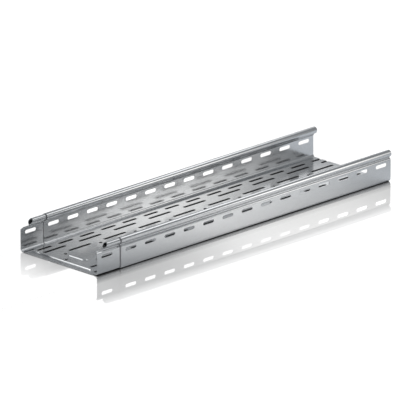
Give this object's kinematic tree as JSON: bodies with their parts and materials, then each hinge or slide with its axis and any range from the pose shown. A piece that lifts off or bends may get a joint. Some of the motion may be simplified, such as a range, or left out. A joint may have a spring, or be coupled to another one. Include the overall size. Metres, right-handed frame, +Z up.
{
  "type": "cable tray",
  "caption": "Perforated steel channel for laying cables, with slotted walls and floor, rolled top edges and a narrower end that slips into the next length.",
  "frame": {"origin": "middle of the underside, halfway along the whole length and between the walls", "axes": "+X along the tray from its coupler towards its open end, +Y across it to the left wall, +Z up out of the channel"},
  "size_m": [0.76, 0.204, 0.06],
  "materials": {
    "galvanised_sheet": "bright galvanised sheet, satin"
  },
  "bodies": {
    "root": {"tray": "galvanised_sheet"}
  },
  "joints": []
}
